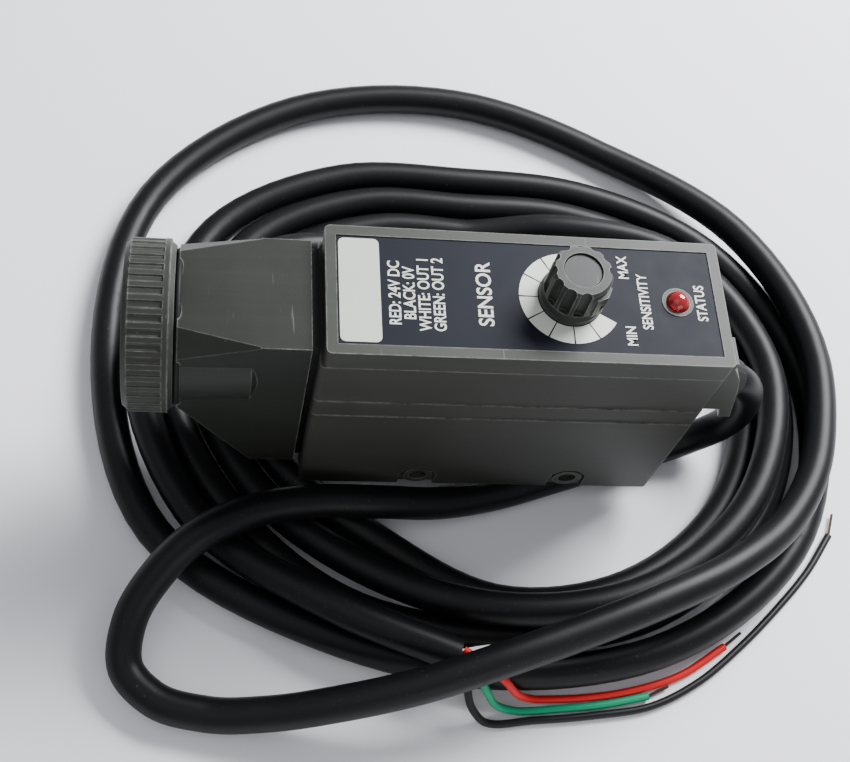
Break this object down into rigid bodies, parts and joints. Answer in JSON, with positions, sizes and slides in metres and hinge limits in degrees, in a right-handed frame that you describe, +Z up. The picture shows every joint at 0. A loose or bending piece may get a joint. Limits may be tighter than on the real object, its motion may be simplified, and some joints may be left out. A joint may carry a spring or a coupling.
{
  "type": "photoelectric sensor",
  "caption": "Grey photoelectric mark sensor with a knurled lens ring, a sensitivity knob, a red status lamp and its coiled black cable.",
  "frame": {"origin": "midway between the two cross mounting holes, at the middle of the width", "axes": "+X from the lens to the cable end, +Z up through the label, +Y to the side away from the viewer"},
  "size_m": [0.1868, 0.18, 0.0787],
  "materials": {
    "body": "satin moulded grey plastic",
    "label": "printed near-black label",
    "lamp": "red clear epoxy",
    "clear": "clear optical glass",
    "black": "satin black plastic",
    "rubber": "black rubber",
    "steel": "zinc plated steel",
    "brass": "turned brass",
    "board": "green solder mask",
    "blue": "blue potentiometer case",
    "ivory": "ivory nylon",
    "jacket": "black PVC jacket",
    "red": "red PVC insulation",
    "green": "green PVC insulation",
    "white": "white PVC insulation",
    "copper": "tinned copper strands"
  },
  "bodies": {
    "root": {"housing": "body", "cover": "body", "cover_gasket": "rubber", "cover_screws": "steel", "label_plate": "label", "pot_body": "blue", "shaft_seal": "rubber", "status_led": "lamp", "led_bezel": "body", "main_board": "board", "board_parts": "black", "plug_header": "ivory", "optics_board": "board", "optics_block": "black", "emitter_led": "clear", "condenser_lens": "clear", "beam_splitter": "clear", "photodiode": "black", "nose": "body", "nose_screws": "steel", "lens_barrel": "black", "barrel_oring": "rubber", "rear_hood": "body", "hood_screws": "steel", "cable_boot": "rubber", "cable_clamp": "steel", "clamp_screws": "steel", "inner_leads": "jacket", "mount_sleeves": "brass", "cable": "jacket", "red_wire": "red", "green_wire": "green", "black_wire": "jacket", "white_wire": "white", "wire_tips": "copper"},
    "knob_body": {"knob": "body", "knob_cap": "body", "pot_shaft": "ivory"},
    "lens_carrier": {"lens_cell": "black", "objective_lens": "clear"},
    "ring_body": {"lens_ring": "body"}
  },
  "joints": [
    {"name": "knob_turn", "type": "hinge", "parent": "root", "child": "knob_body", "pos_m": [0.0056, 0, 0.056], "axis": [0, 0, -1], "range_deg": [-15, 285]},
    {"name": "ring_travel", "type": "slide", "parent": "root", "child": "lens_carrier", "axis": [-1, 0, 0], "range_m": [0, 0.003]},
    {"name": "ring_turn", "type": "hinge", "parent": "lens_carrier", "child": "ring_body", "pos_m": [-0.079, 0, 0.0383], "axis": [-1, 0, 0], "range_deg": [0, 720]}
  ],
  "couplings": [
    {"joint": "ring_travel", "follows": "ring_turn", "m_per_rad": 0.00023873}
  ]
}
